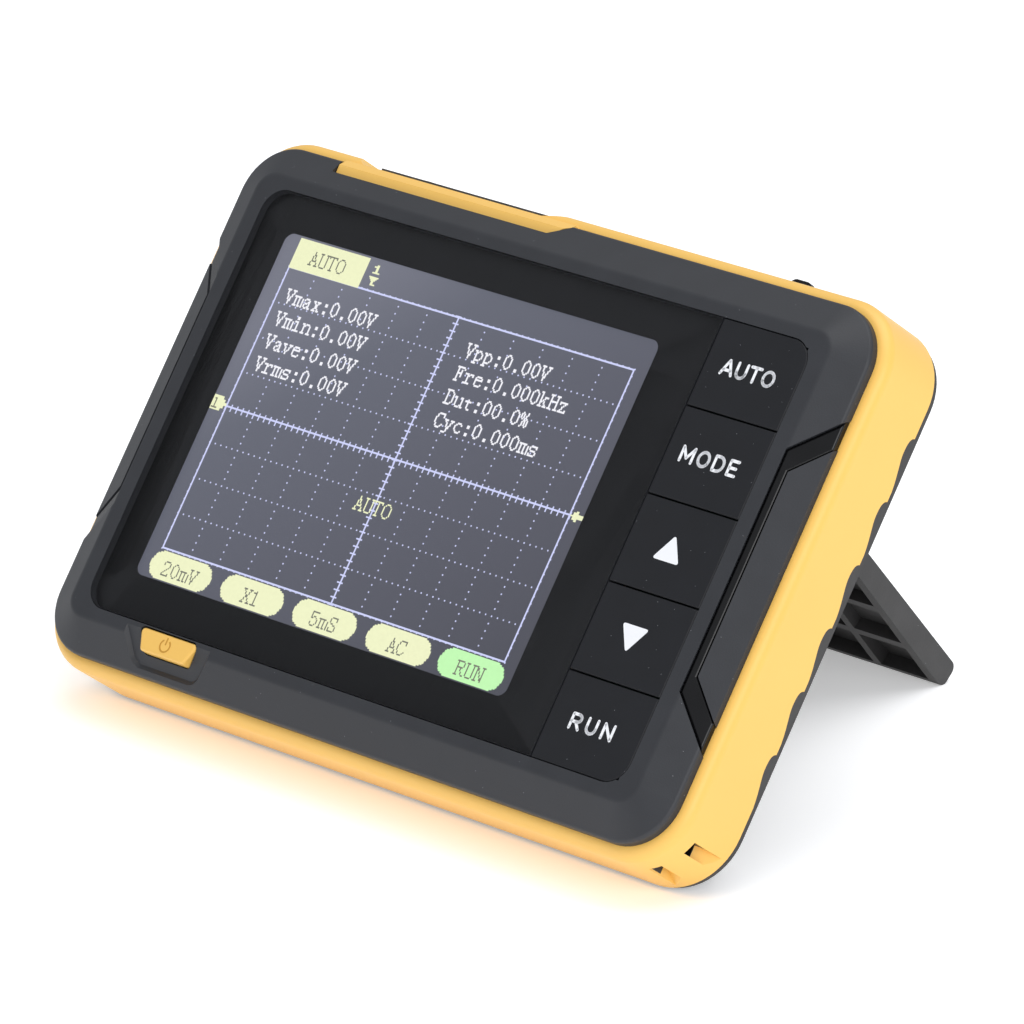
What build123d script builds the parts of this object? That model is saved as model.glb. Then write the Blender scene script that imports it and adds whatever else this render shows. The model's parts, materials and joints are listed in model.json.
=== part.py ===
from build123d import *
import os
from math import acos, atan2, cos, hypot, radians, sin, sqrt

os.makedirs("parts", exist_ok=True)

# Pocket oscilloscope standing on its rear kickstand. Millimetres throughout.
# Every piece is drawn in case terms: X to the right, V up the front panel and
# D the depth behind it, so the flush front panel is D = 0 and grows backwards.

# ---- Case envelope
case_width = 99.0
case_height = 67.6
case_corner = 7.9
band_front = 3.4          # depth where the yellow band meets the bezel
band_back = 13.2          # depth where it meets the rear cover
case_depth = 19.5
band_step = 1.45          # how far the band stands out past the bezel
wall_gap = 0.1            # fit between nested shells

# ---- Front panel: window and keys sit flush in one opening
panel_side = 7.6          # from the case's side to the panel's
panel_end = 7.05          # from the case's top or bottom to the panel's
panel_corner = 3.0
rim_width = 2.05
slope_depth = 2.2
rim_round = 1.2
shoulder_round = 0.5
shelf_depth = 1.15        # ledge that the window is stuck to
shelf_back = 2.4
seam = 0.1                # gap round the window and the key column
edge_break = 0.12

# ---- Keys
key_count = 5
key_width = 13.3
key_gap = 0.2
key_travel = 0.3
key_cap = 0.75
neck_front = 1.6          # the cap's block ends here, clear of the screw bosses
flange_front = shelf_back + 0.05
flange_depth = 0.75
flange_half = 2.2
flange_side = 0.3         # how far the flange reaches past the cap on each side
key_shoulder = 1.1
key_shift = 0.1
nub_radius = 1.5
power_nub = 1.3

# ---- Display module
lcd_width = 66.0
lcd_height = 47.5
lcd_x = -6.6
lcd_v = 0.42
lcd_front = 1.25
glass_depth = 1.1
backlight_depth = 2.0
view_width = 58.2
view_height = 43.6
view_x = -8.25
view_corner = 1.2
lcd_clearance = 0.3

# ---- Inner walls
wall = 1.5
ring_wall = 3.15          # thickness of the yellow band
ring_corner = 7.0
lip_length = 3.0
back_wall = 1.8
back_slope = 5.8
back_straight = 1.0
back_round = 0.9

# ---- Circuit board and its screws
board_front = 6.2
board_depth = 1.2
board_clearance = 0.55
boss_inset_x = 2.75       # boss centre from the shell's inner side wall
boss_inset_v = 3.05
boss_radius = 2.1
screw_radius = 1.0
screw_clearance = 0.15
head_radius = 1.9
head_height = 1.2
head_depth = 1.4          # how far the head seat lies below the back
cross_length = 2.2
cross_width = 0.5
cross_depth = 0.7

# ---- Tactile switches
switch_side = 4.5
switch_height = 1.2
plunger_radius = 1.1
plunger_rise = 0.7
plunger_fit = 0.1

# ---- Kickstand
stand_width = 52.0
stand_length = 51.0
stand_angle = 77.5        # opening angle from flat against the back
pin_v = 18.6
pin_depth = 18.0
pin_radius = 0.75
pin_fit = 0.05
pin_grip = 0.02
pin_reach = 1.2           # length held in each cheek of the cover
knuckle_radius = 1.4
foot_inner = 1.8          # inner face of the foot, measured from the pin's plane
foot_round = 1.0
stand_side_gap = 0.15
stop_gap = 0.05
bay_floor = 16.0
bay_wall = 1.4

# ---- Ports along the top
port_left = -33.2
port_right = -3.0
port_front = 6.6
lip_drop = 1.1            # the band dips here so that plugs clear it
bezel_drop = 1.75
probe_x = -26.5
probe_bore = 1.8
probe_bore_length = 3.2
probe_wall = 0.6
insulator_radius = 1.5
usb_x = -11.5
usb_width = 8.94
usb_height = 3.2
terminal_x = 30.6
terminal_tail = 4.0       # length soldered along the board
terminal_corner = 0.9
terminal_width = 3.2
terminal_thick = 0.8
terminal_gap = 0.15
terminal_rise = 1.0
lip_front = 1.9
lip_bevel = 0.9
port_wall = 2.4
port_clearance = 0.2
cover_step = 0.3
rear_lip = 2.0

# ---- Scallops where the band and the rear cover meet
scallop_count = 6
scallop_pitch = 7.65
scallop_depth = 0.85
scallop_length = 6.4
scallop_steep = 1.3
scallop_thick = 1.2
tongue_gap = 0.05

# ---- Window stack, from the front
window_depth = 0.9
film_depth = 0.1

# ---- Power button's size and the stand's lattice
power_round = 0.35
power_below = 0.3         # from the panel's lower edge to the button
power_height = 2.7
pocket_floor = 0.1
pocket_start = 12.0
pocket_edge = 1.4
rib_width = 1.2
pocket_columns = 6
pocket_rows = 5

half_w = case_width / 2
half_h = case_height / 2
panel_width = case_width - 2 * panel_side
panel_height = case_height - 2 * panel_end
bezel_w = case_width - 2 * band_step
bezel_h = case_height - 2 * band_step
ring_w = case_width - 2 * ring_wall
ring_h = case_height - 2 * ring_wall
lip_w = ring_w - 2 * wall_gap
lip_h = ring_h - 2 * wall_gap
inner_w = lip_w - 2 * wall
inner_h = lip_h - 2 * wall
boss_x = inner_w / 2 - boss_inset_x
boss_v = inner_h / 2 - boss_inset_v
lip_corner = ring_corner - wall_gap
inner_corner = lip_corner - wall
panel_half_w = panel_width / 2
panel_half_h = panel_height / 2
slope_run = bezel_w / 2 - panel_half_w - rim_width
board_back = board_front + board_depth
stand_rad = radians(stand_angle)

# ---- How far the case leans back: its lower rear edge and the stand's foot
# both touch the ground, and the foot is a round of radius foot_round.
edge_v = cover_step - half_h
edge_d = band_back + back_straight
foot_s = stand_length - foot_round
foot_t = -foot_inner + foot_round
foot_v = pin_v - foot_s * cos(stand_rad) + foot_t * sin(stand_rad)
foot_d = pin_depth + foot_s * sin(stand_rad) + foot_t * cos(stand_rad)
span_v = foot_v - edge_v
span_d = foot_d - edge_d
lean = acos(foot_round / hypot(span_v, span_d)) - atan2(span_d, span_v)

up_face = Vector(0, sin(lean), cos(lean))
backward = Vector(0, cos(lean), -sin(lean))
rise = -(edge_v * up_face.Z + edge_d * backward.Z)
power_top = -panel_height / 2 - power_below
power_bottom = power_top - power_height
# the origin is under the middle of the object's whole depth, which runs from the
# bezel or the power button, whichever is further forward, to the stand's foot
tip_t = knuckle_radius - foot_round
tip_v = pin_v - foot_s * cos(stand_rad) + tip_t * sin(stand_rad)
tip_d = pin_depth + foot_s * sin(stand_rad) + tip_t * cos(stand_rad)
bezel_reach = -bezel_h / 2 * up_face.Y + slope_depth * backward.Y
power_reach = (power_bottom + power_round) * up_face.Y + power_round * backward.Y - power_round
front_reach = min(bezel_reach, power_reach)
foot_reach = tip_v * up_face.Y + tip_d * backward.Y + foot_round
ahead = -(front_reach + foot_reach) / 2
centre = Vector(0, ahead, rise)


def spot(x, v, d):
    """World position of a point given in case terms."""
    return centre + Vector(x, 0, 0) + up_face * v + backward * d


def facing(d, x=0, v=0):
    """Plane parallel to the front panel at depth d, looking forward."""
    return Plane(origin=spot(x, v, d), x_dir=(1, 0, 0), z_dir=-backward)


def across(x):
    """Side-view plane at x: local axes are V and minus D."""
    return Plane(origin=spot(x, 0, 0), x_dir=up_face, z_dir=(1, 0, 0))


def above(v, x=0, d=0):
    """Plane square to V, looking up: local axes are X and D."""
    return Plane(origin=spot(x, v, d), x_dir=(1, 0, 0), z_dir=up_face)


def rounded_block(x, v, width, height, corner, front, back):
    """Rounded plate between two depths, as a loose solid."""
    with BuildPart() as block:
        with BuildSketch(facing(back)):
            with Locations((x, v)):
                RectangleRounded(width, height, corner)
        extrude(amount=back - front)
    return block.part


def plain_block(x, v, width, height, front, back):
    """Square-cornered block between two depths, as a loose solid."""
    with BuildPart() as block:
        with BuildSketch(facing(back)):
            with Locations((x, v)):
                Rectangle(width, height)
        extrude(amount=back - front)
    return block.part


def barrel(x, v, radius, front, back):
    """Round bar along the depth, as a loose solid."""
    with BuildPart() as bar:
        with BuildSketch(facing(back)):
            with Locations((x, v)):
                Circle(radius)
        extrude(amount=back - front)
    return bar.part


def outer_edges(part, d):
    """Edges of a part that lie in the plane at depth d."""
    level = spot(0, 0, d)
    return part.edges().filter_by(
        lambda e: all(abs((e.position_at(t) - level).dot(backward)) < 1e-4 for t in (0, 0.5, 1))
    )


def finish(built, name):
    built.part.label = name
    export_step(built.part, f"parts/{name}.step")


corners = [(sx * boss_x, sv * boss_v) for sx in (-1, 1) for sv in (-1, 1)]

# ---- Key layout, top to bottom
key_pitch = panel_height / key_count
key_height = key_pitch - key_gap
key_x = panel_half_w - seam - key_width / 2
key_names = ["auto", "mode", "up", "down", "run"]
key_rows = [panel_half_h - key_pitch * (i + 0.5) for i in range(key_count)]
key_left = key_x - key_width / 2
window_right = key_left - seam
window_left = -panel_half_w + seam
aperture_left = key_left + 0.4
aperture_right = panel_half_w - 0.7
aperture_half_h = panel_half_h - 0.7
plunger_front = board_front - switch_height - plunger_rise
nub_back = plunger_front - 0.05
power_x = -27.5

# ---- Power button outline on the lower left of the bezel
power_switch_v = power_top + 1.05
stem_v = power_top - 0.95
stem_width = 5.0
stem_height = 1.9
power_wide = 9.3
power_narrow = 6.9
power_gap = 0.15
power_corner = 0.5
scoop_wide = 13.6         # rounded hollow in the slope round the button
scoop_narrow = 9.6
scoop_bottom = power_bottom - 1.5
scoop_sink = 0.45
scoop_corner = 1.6
scoop_above = 1.0         # how far it runs up past the slope's start
scoop_draft = 40.0
power_floor = shelf_back - 0.2

# ---- Side grips: a trapezoid on each slope, with a glossy C round a low pad
grip_inner_half = 14.6
grip_outer_half = 19.6
grip_drop = 0.3
trim_depth = 0.9
trim_below = 0.12
trim_bar = 1.2
trim_round = 0.3
trim_arm = 2.3
trim_flare = 1.4          # the arms are wider at the case side by this much
trim_fit = 0.05
slope_length = hypot(slope_run, slope_depth)


def slope_plane(side):
    """Plane on a side slope: local x runs outward down it and local y along V."""
    outward = Vector(side * slope_run, 0, 0) + backward * slope_depth
    normal = Vector(side * slope_depth, 0, 0) - backward * slope_run
    start = spot(side * (panel_half_w + rim_width), 0, 0)
    return Plane(origin=start, x_dir=outward, z_dir=normal)


def power_solid(gap, front, back):
    """Trapezoid of the power button, grown by a gap, between two depths."""
    with BuildPart() as block:
        with BuildSketch(facing(back)):
            Polygon(
                (power_x - power_wide / 2 - gap, power_top + gap),
                (power_x + power_wide / 2 + gap, power_top + gap),
                (power_x + power_narrow / 2 + gap, power_bottom - gap),
                (power_x - power_narrow / 2 - gap, power_bottom - gap),
                align=None,
            )
            fillet(vertices(), power_corner + gap)
        extrude(amount=back - front)
    return block.part


def scoop_solid():
    """Round-cornered hollow round the power button, its floor parallel to the slope."""
    floor_v = bezel_h / 2 - slope_run
    start = spot(power_x, -floor_v, 0)
    downward = up_face * -slope_run + backward * slope_depth
    outward = backward * -slope_run - up_face * slope_depth
    low = (hypot(slope_run, slope_depth) / slope_run) * (-floor_v - scoop_bottom)
    with BuildPart() as hollow:
        with BuildSketch(Plane(origin=start, x_dir=downward, z_dir=outward).offset(-scoop_sink)):
            Polygon(
                (-scoop_above, -scoop_wide / 2),
                (low, -scoop_narrow / 2),
                (low, scoop_narrow / 2),
                (-scoop_above, scoop_wide / 2),
                align=None,
            )
            fillet(vertices().sort_by(Axis.X)[-2:], scoop_corner)
        extrude(amount=scoop_sink + slope_depth, taper=-scoop_draft)
    return hollow.part


def grip_outline(inner_half, outer_half, start, end):
    """Symmetric trapezoid on the slope between two distances down it."""
    Polygon(
        (start, -inner_half), (end, -outer_half), (end, outer_half), (start, inner_half),
        align=None,
    )


def grip_solid(side, inner_half, outer_half, start, below, above_slope):
    """Trapezoid bar from below the slope's surface to above it."""
    plane = slope_plane(side)
    with BuildPart() as bar:
        with BuildSketch(plane.offset(-below)):
            run = slope_length + 1.5
            reach = outer_half + 1.5 * (outer_half - inner_half) / slope_length
            # a mirrored plane turns local y over, but the outline is symmetric
            grip_outline(inner_half, reach, start, run)
        extrude(amount=below + above_slope)
    return bar.part


# ---- Yellow lip in front of the ports, and the bezel's matching notch
def notch_solid(gap, high, front, back):
    """The stretch of bezel edge that the yellow lip takes over, up to V = high."""
    low = bezel_h / 2 - bezel_drop + gap
    with BuildPart() as notch:
        with BuildSketch(facing(back)):
            with BuildLine():
                FilletPolyline(
                    (port_left - 2.1 + gap, high),
                    (port_left - 2.1 + gap, low),
                    (port_right + 1.6 - gap, low),
                    (port_right + 4.0 - gap, low + bezel_drop - 0.2),
                    (port_right + 4.0 - gap, high),
                    radius=0.2,
                    close=True,
                )
            make_face()
        extrude(amount=back - front)
    return notch.part


# ---- Sockets: both sit on the back of the board
probe_radius = probe_bore + probe_wall
probe_d = board_back + probe_radius + 0.1
usb_d = board_back + usb_height / 2

# ---- Lanyard passage round a post at the lower right corner
lanyard_width = 1.5
lanyard_depth = 2.2
lanyard_d = 8.0
lanyard_run = 2.2         # how far past their meeting the passages open inwards
scoop_run = 2.6
scoop_into = 1.3
lanyard_turn = case_corner - 2.7
arc_x = half_w - case_corner
arc_v = -half_h + case_corner
lanyard_knee = (arc_x + lanyard_turn * cos(radians(45)), arc_v - lanyard_turn * sin(radians(45)))
lanyard_side = (arc_x + case_corner + 1, lanyard_knee[1])
lanyard_foot = (lanyard_knee[0], arc_v - case_corner - 1)
lanyard_inner_x = (lanyard_knee[0] - lanyard_run, lanyard_knee[1])
lanyard_inner_v = (lanyard_knee[0], lanyard_knee[1] + lanyard_run)


def passage(start, end):
    """Square passage in the front plane's directions, centred at the lanyard's depth."""
    length_x = abs(start[0] - end[0]) + lanyard_width
    length_v = abs(start[1] - end[1]) + lanyard_width
    return plain_block((start[0] + end[0]) / 2, (start[1] + end[1]) / 2, length_x, length_v,
                       lanyard_d - lanyard_depth / 2, lanyard_d + lanyard_depth / 2)


def scallops(side, gap):
    """Row of shallow waves on one side of the band: steep at the top, easing out below."""
    depth = scallop_depth - gap
    with BuildPart() as row:
        with BuildSketch(Plane(origin=spot(side * (half_w - scallop_thick), 0, 0),
                               x_dir=up_face, z_dir=(1, 0, 0))):
            for i in range(scallop_count):
                v = ((scallop_count - 1) / 2 - i) * scallop_pitch
                top = v + scallop_length / 2 - gap
                low = v - scallop_length / 2 + gap
                with BuildLine():
                    Polyline((low, -band_back), (low, -band_back - 0.2), (top, -band_back - 0.2),
                             (top, -band_back))
                    Spline((top, -band_back), (top - scallop_steep, -band_back + depth),
                           (low, -band_back), tangents=((-0.2, 1), (-1, -0.12)))
                make_face()
        extrude(amount=side * (scallop_thick - gap))
    return row.part


# ======================================================================
# Front bezel
with BuildPart() as front_bezel:
    with BuildSketch(facing(band_front)):
        RectangleRounded(bezel_w, bezel_h, case_corner - band_step)
    extrude(amount=band_front)
    chamfer(outer_edges(front_bezel.part, 0), length=slope_run, length2=slope_depth,
            reference=front_bezel.faces().sort_by(Axis(spot(0, 0, 0), -backward))[-1])
    fillet(outer_edges(front_bezel.part, 0), rim_round)
    fillet(outer_edges(front_bezel.part, slope_depth), shoulder_round)
    # lip that plugs into the yellow band
    with BuildSketch(facing(band_front + lip_length)):
        RectangleRounded(lip_w, lip_h, lip_corner)
    extrude(amount=lip_length)
    # hollow behind the front plate
    add(rounded_block(0, 0, inner_w, inner_h, inner_corner, shelf_back, band_front + lip_length),
        mode=Mode.SUBTRACT)
    # recess for the window and keys, then the openings through its floor
    add(rounded_block(0, 0, panel_width, panel_height, panel_corner, -1, shelf_depth),
        mode=Mode.SUBTRACT)
    add(plain_block(lcd_x, lcd_v, lcd_width + 2 * lcd_clearance, lcd_height + 2 * lcd_clearance,
                    0, shelf_back), mode=Mode.SUBTRACT)
    add(plain_block((aperture_left + aperture_right) / 2, 0, aperture_right - aperture_left,
                    2 * aperture_half_h, 0, shelf_back), mode=Mode.SUBTRACT)
    # notch for the yellow lip
    add(notch_solid(0, half_h + 2, -1, band_front), mode=Mode.SUBTRACT)
    # screw bosses
    for x, v in corners:
        add(barrel(x, v, boss_radius, shelf_back, board_front))
        add(barrel(x, v, screw_radius + pin_grip, shelf_back + 0.6, board_front),
            mode=Mode.SUBTRACT)
    # side grips
    for side in (-1, 1):
        add(grip_solid(side, grip_inner_half, grip_outer_half, 0.0, grip_drop, 1),
            mode=Mode.SUBTRACT)
        groove = grip_solid(side, grip_inner_half, grip_outer_half, 0.0,
                            grip_drop + trim_depth, 1)
        pad = grip_solid(side, grip_inner_half - trim_arm, grip_outer_half - trim_arm * trim_flare,
                         trim_bar, grip_drop + trim_depth + 1, 2)
        add(groove - pad, mode=Mode.SUBTRACT)
    # hollow round the power button, its pocket, and the hole for its stem
    add(scoop_solid(), mode=Mode.SUBTRACT)
    add(power_solid(power_gap, 0, power_floor), mode=Mode.SUBTRACT)
    add(plain_block(power_x, stem_v, stem_width + 2 * power_gap, stem_height + 2 * power_gap,
                    0, shelf_back), mode=Mode.SUBTRACT)
finish(front_bezel, "front_bezel")

# ======================================================================
# Glossy trims in the side grips
for side, name in ((-1, "left_trim"), (1, "right_trim")):
    with BuildPart() as trim:
        # the trim stops short of the case side, flush with the bezel's wall
        body = grip_solid(side, grip_inner_half - trim_fit, grip_outer_half - trim_fit, trim_fit,
                          grip_drop + trim_depth, -grip_drop - trim_below)
        pad = grip_solid(side, grip_inner_half - trim_arm + trim_fit,
                         grip_outer_half - trim_arm * trim_flare + trim_fit,
                         trim_bar - trim_fit, grip_drop + trim_depth + 1, 2)
        inside = rounded_block(0, 0, bezel_w - 2 * wall_gap, bezel_h - 2 * wall_gap, case_corner - band_step,
                               -1, band_front)
        add((body - pad) & inside)
        level = slope_plane(side).offset(-grip_drop - trim_below)
        crest = trim.edges().filter_by(
            lambda e: all(abs((e.position_at(t) - level.origin).dot(level.z_dir)) < 1e-4
                          for t in (0, 0.5, 1))
        )
        fillet(crest, trim_round)
    finish(trim, name)

# ======================================================================
# Yellow middle band
lip_top = half_h - lip_drop
with BuildPart() as port_lip:
    add(notch_solid(wall_gap, lip_top, lip_front, band_front + 1))
    # bevel its upper front edge
    with BuildSketch(across(0)):
        Polygon(
            (lip_top - lip_bevel, -lip_front),
            (lip_top - lip_bevel, 1 - lip_front),
            (lip_top + 1, 1 - lip_front),
            (lip_top + 1, -lip_front - lip_bevel),
            (lip_top, -lip_front - lip_bevel),
            align=None,
        )
    extrude(amount=half_w, both=True, mode=Mode.SUBTRACT)

with BuildPart() as mid_frame:
    with BuildSketch(facing(band_back)):
        RectangleRounded(case_width, case_height, case_corner)
    extrude(amount=band_back - band_front)
    fillet(outer_edges(mid_frame.part, band_front), band_step - 0.05)
    # the top dips in front of the ports
    with BuildSketch(facing(band_back)):
        with BuildLine():
            FilletPolyline(
                (port_left - 1.6, half_h + 3),
                (port_left - 1.6, half_h),
                (port_left + 0.2, lip_top),
                (port_right - 2.6, lip_top),
                (port_right + 1.2, half_h),
                (port_right + 1.2, half_h + 3),
                radius=0.5,
                close=True,
            )
        make_face()
    extrude(amount=band_back, mode=Mode.SUBTRACT)
    add(port_lip.part)
    # the rear cover takes over behind the lip
    add(plain_block((port_left + port_right) / 2, half_h, port_right - port_left + 2 * wall_gap,
                    2 * ring_wall + 1, port_front, band_back), mode=Mode.SUBTRACT)
    add(rounded_block(0, 0, ring_w, ring_h, ring_corner, band_front, band_back),
        mode=Mode.SUBTRACT)
    # scallops along the rear edge of both sides
    for side in (-1, 1):
        add(scallops(side, 0), mode=Mode.SUBTRACT)
    # lanyard hole: two short passages that meet behind a post at the corner
    for start, mouth in ((lanyard_side, lanyard_inner_x), (lanyard_foot, lanyard_inner_v)):
        add(passage(start, mouth), mode=Mode.SUBTRACT)
    # ramps that lead into both passages from behind
    ramp_top = lanyard_d + lanyard_depth / 2
    corner_x = arc_x + sqrt(case_corner ** 2 - (arc_v - lanyard_knee[1]) ** 2)
    with BuildSketch(above(lanyard_knee[1] - lanyard_width / 2)):
        Polygon(
            (corner_x + 1, ramp_top - 0.1),
            (corner_x + 1, ramp_top + scoop_run * (1 + scoop_into) / scoop_into),
            (corner_x - scoop_into, ramp_top),
            (corner_x - scoop_into, ramp_top - 0.1),
            align=None,
        )
    extrude(amount=lanyard_width, mode=Mode.SUBTRACT)
    corner_low = arc_v - (corner_x - arc_x)
    with BuildSketch(across(lanyard_knee[0] - lanyard_width / 2)):
        Polygon(
            (corner_low - 1, 0.1 - ramp_top),
            (corner_low - 1, -ramp_top - scoop_run * (1 + scoop_into) / scoop_into),
            (corner_low + scoop_into, -ramp_top),
            (corner_low + scoop_into, 0.1 - ramp_top),
            align=None,
        )
    extrude(amount=lanyard_width, mode=Mode.SUBTRACT)
    # slot for the test terminal
    add(plain_block(terminal_x, half_h, terminal_width + 2 * terminal_gap, 4 * ring_wall,
                    board_back - terminal_gap, board_back + terminal_thick + terminal_gap),
        mode=Mode.SUBTRACT)
finish(mid_frame, "mid_frame")

# ======================================================================
# Rear cover
cover_w = case_width - 2 * cover_step
cover_h = case_height - 2 * cover_step
slope_rise = case_depth - band_back - back_straight
stand_bay = stand_width + 2 * stand_side_gap

with BuildPart() as cover_hollow:
    with BuildSketch(facing(case_depth - back_wall)):
        RectangleRounded(inner_w, inner_h, inner_corner)
    extrude(amount=case_depth - back_wall - band_back)
    chamfer(outer_edges(cover_hollow.part, case_depth - back_wall),
            length=(case_depth - back_wall - band_back) * 0.8)
    # the stand's bay stands up inside
    bay_top = pin_v + knuckle_radius + stop_gap + bay_wall + 1
    add(plain_block(0, bay_top / 2 - half_h, stand_bay + 2 * bay_wall, bay_top + 2 * half_h,
                    bay_floor - bay_wall, case_depth), mode=Mode.SUBTRACT)

with BuildPart() as stand_recess:
    # side profile, in V and minus D: floor, then a stop that the open stand lies against
    stop_offset = knuckle_radius + stop_gap
    stop_low = pin_v + (stop_offset - (bay_floor - pin_depth) * cos(stand_rad)) / sin(stand_rad)
    stop_high = pin_v + (stop_offset - (case_depth + 1 - pin_depth) * cos(stand_rad)) / sin(stand_rad)
    with BuildSketch(across(0)):
        Polygon(
            (stop_low, -bay_floor),
            (-half_h - 2, -bay_floor),
            (-half_h - 2, -case_depth - 1),
            (stop_high, -case_depth - 1),
            align=None,
        )
    extrude(amount=stand_bay / 2, both=True)

with BuildPart() as rear_cover:
    with BuildSketch(facing(case_depth)):
        RectangleRounded(cover_w, cover_h, case_corner - cover_step)
    extrude(amount=case_depth - band_back)
    chamfer(outer_edges(rear_cover.part, case_depth), length=back_slope, length2=slope_rise,
            reference=rear_cover.faces().sort_by(Axis(spot(0, 0, 0), backward))[-1])
    fillet(outer_edges(rear_cover.part, case_depth), back_round)
    add(cover_hollow.part, mode=Mode.SUBTRACT)
    # lip that plugs into the yellow band
    with BuildSketch(facing(band_back)):
        RectangleRounded(lip_w, lip_h, lip_corner)
        RectangleRounded(inner_w, inner_h, inner_corner, mode=Mode.SUBTRACT)
    extrude(amount=rear_lip)
    # wall that holds the ports
    add(plain_block((port_left + port_right) / 2, half_h - port_wall / 2, port_right - port_left,
                    port_wall, port_front + wall_gap, band_back))
    # tongues that fill the band's scallops
    for side in (-1, 1):
        add(scallops(side, tongue_gap))
    # screw pillars
    for x, v in corners:
        add(barrel(x, v, boss_radius, board_back, case_depth - back_wall))
    add(stand_recess.part, mode=Mode.SUBTRACT)
    for x, v in corners:
        add(barrel(x, v, screw_radius + screw_clearance, 0, case_depth), mode=Mode.SUBTRACT)
        add(barrel(x, v, head_radius + screw_clearance, case_depth - head_depth, case_depth + 1),
            mode=Mode.SUBTRACT)
    # openings for the two sockets
    with BuildSketch(above(half_h + 1)):
        with Locations((probe_x, probe_d)):
            Circle(probe_radius + port_clearance)
        with Locations((usb_x, usb_d)):
            SlotOverall(usb_width + 2 * port_clearance, usb_height + 2 * port_clearance)
    extrude(amount=-ring_wall - 4, mode=Mode.SUBTRACT)
    # holes for the hinge pin in the bay's cheeks
    with BuildSketch(across(0)):
        with Locations((pin_v, -pin_depth)):
            Circle(pin_radius + pin_grip)
    extrude(amount=stand_bay / 2 + pin_reach, both=True, mode=Mode.SUBTRACT)
finish(rear_cover, "rear_cover")

# ======================================================================
# Window, its printed border and the adhesive that holds it to the shelf
window_width = window_right - window_left
window_x = (window_left + window_right) / 2
window_height = panel_height - 2 * seam
film_front = window_depth
adhesive_front = film_front + film_depth
adhesive_edge = 0.4

with BuildPart() as screen_window:
    with BuildSketch(facing(window_depth)):
        with Locations((window_x, 0)):
            Rectangle(window_width, window_height)
        left_corners = vertices().sort_by(Axis.X)[:2]
        fillet(left_corners, panel_corner - seam)
    extrude(amount=window_depth)
finish(screen_window, "screen_window")

with BuildPart() as window_border:
    with BuildSketch(facing(adhesive_front)):
        with Locations((window_x, 0)):
            Rectangle(window_width, window_height)
        left_corners = vertices().sort_by(Axis.X)[:2]
        fillet(left_corners, panel_corner - seam)
        with Locations((view_x, lcd_v)):
            RectangleRounded(view_width, view_height, view_corner, mode=Mode.SUBTRACT)
    extrude(amount=film_depth)
finish(window_border, "window_border")

with BuildPart() as window_adhesive:
    with BuildSketch(facing(shelf_depth)):
        with Locations((window_x, 0)):
            Rectangle(window_width - 2 * adhesive_edge, window_height - 2 * adhesive_edge)
        with Locations((lcd_x, lcd_v)):
            Rectangle(lcd_width + 2 * lcd_clearance, lcd_height + 2 * lcd_clearance,
                      mode=Mode.SUBTRACT)
        # clear of the recess's corner rounds
        corner_pads = vertices().sort_by(Axis.X)[:2]
        fillet(corner_pads, panel_corner - adhesive_edge)
    extrude(amount=shelf_depth - adhesive_front)
finish(window_adhesive, "window_adhesive")

# ======================================================================
# Display module
backlight_front = lcd_front + glass_depth
backlight_back = backlight_front + backlight_depth

with BuildPart() as lcd_panel:
    with BuildSketch(facing(backlight_front)):
        with Locations((lcd_x, lcd_v)):
            Rectangle(lcd_width, lcd_height)
    extrude(amount=glass_depth)
finish(lcd_panel, "lcd_panel")

with BuildPart() as lcd_backlight:
    with BuildSketch(facing(backlight_back)):
        with Locations((lcd_x, lcd_v)):
            RectangleRounded(lcd_width, lcd_height, 0.8)
    extrude(amount=backlight_depth)
finish(lcd_backlight, "lcd_backlight")

flex_thick = 0.2
flex_width = 22.0
flex_exit = lcd_x + lcd_width / 2
flex_turn = flex_exit + 0.75
flex_front = backlight_front + 0.7
socket_front = board_front - 1.0
flex_back = socket_front - flex_thick / 2
flex_end = flex_exit - 9.0
flex_grip = 1.5
socket_width = 3.4
foam_length = 40.0
foam_width = 6.0
foam_pitch = 30.0

with BuildPart() as lcd_flex:
    with BuildSketch(Plane(origin=spot(0, lcd_v - flex_width / 2, 0), x_dir=(1, 0, 0),
                           z_dir=up_face)):
        with BuildLine():
            FilletPolyline(
                (flex_exit, flex_front),
                (flex_turn, flex_front),
                (flex_turn, flex_back),
                (flex_end, flex_back),
                radius=0.5,
            )
        trace(line_width=flex_thick)
    extrude(amount=flex_width)
    add(plain_block(lcd_x, lcd_v, lcd_width, lcd_height, backlight_front, backlight_back),
        mode=Mode.SUBTRACT)
finish(lcd_flex, "lcd_flex")

with BuildPart() as flex_socket:
    with BuildSketch(facing(board_front)):
        with Locations((flex_end + flex_grip, lcd_v)):
            Rectangle(socket_width, flex_width + 2)
    extrude(amount=board_front - socket_front)
finish(flex_socket, "flex_socket")

with BuildPart() as display_pads:
    # foam strips that press the display forward against the window
    with BuildSketch(facing(board_front)):
        with Locations((lcd_x - 8, lcd_v)):
            with GridLocations(0, foam_pitch, 1, 2):
                Rectangle(foam_length, foam_width)
    extrude(amount=board_front - backlight_back)
finish(display_pads, "display_pads")

# ======================================================================
# Main board and what is soldered to it
board_w = inner_w - 2 * board_clearance
board_h = inner_h - 2 * board_clearance

with BuildPart() as main_board:
    with BuildSketch(facing(board_back)):
        RectangleRounded(board_w, board_h, inner_corner - board_clearance)
        with Locations(*corners):
            Circle(screw_radius + screw_clearance, mode=Mode.SUBTRACT)
    extrude(amount=board_depth)
finish(main_board, "main_board")


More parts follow.
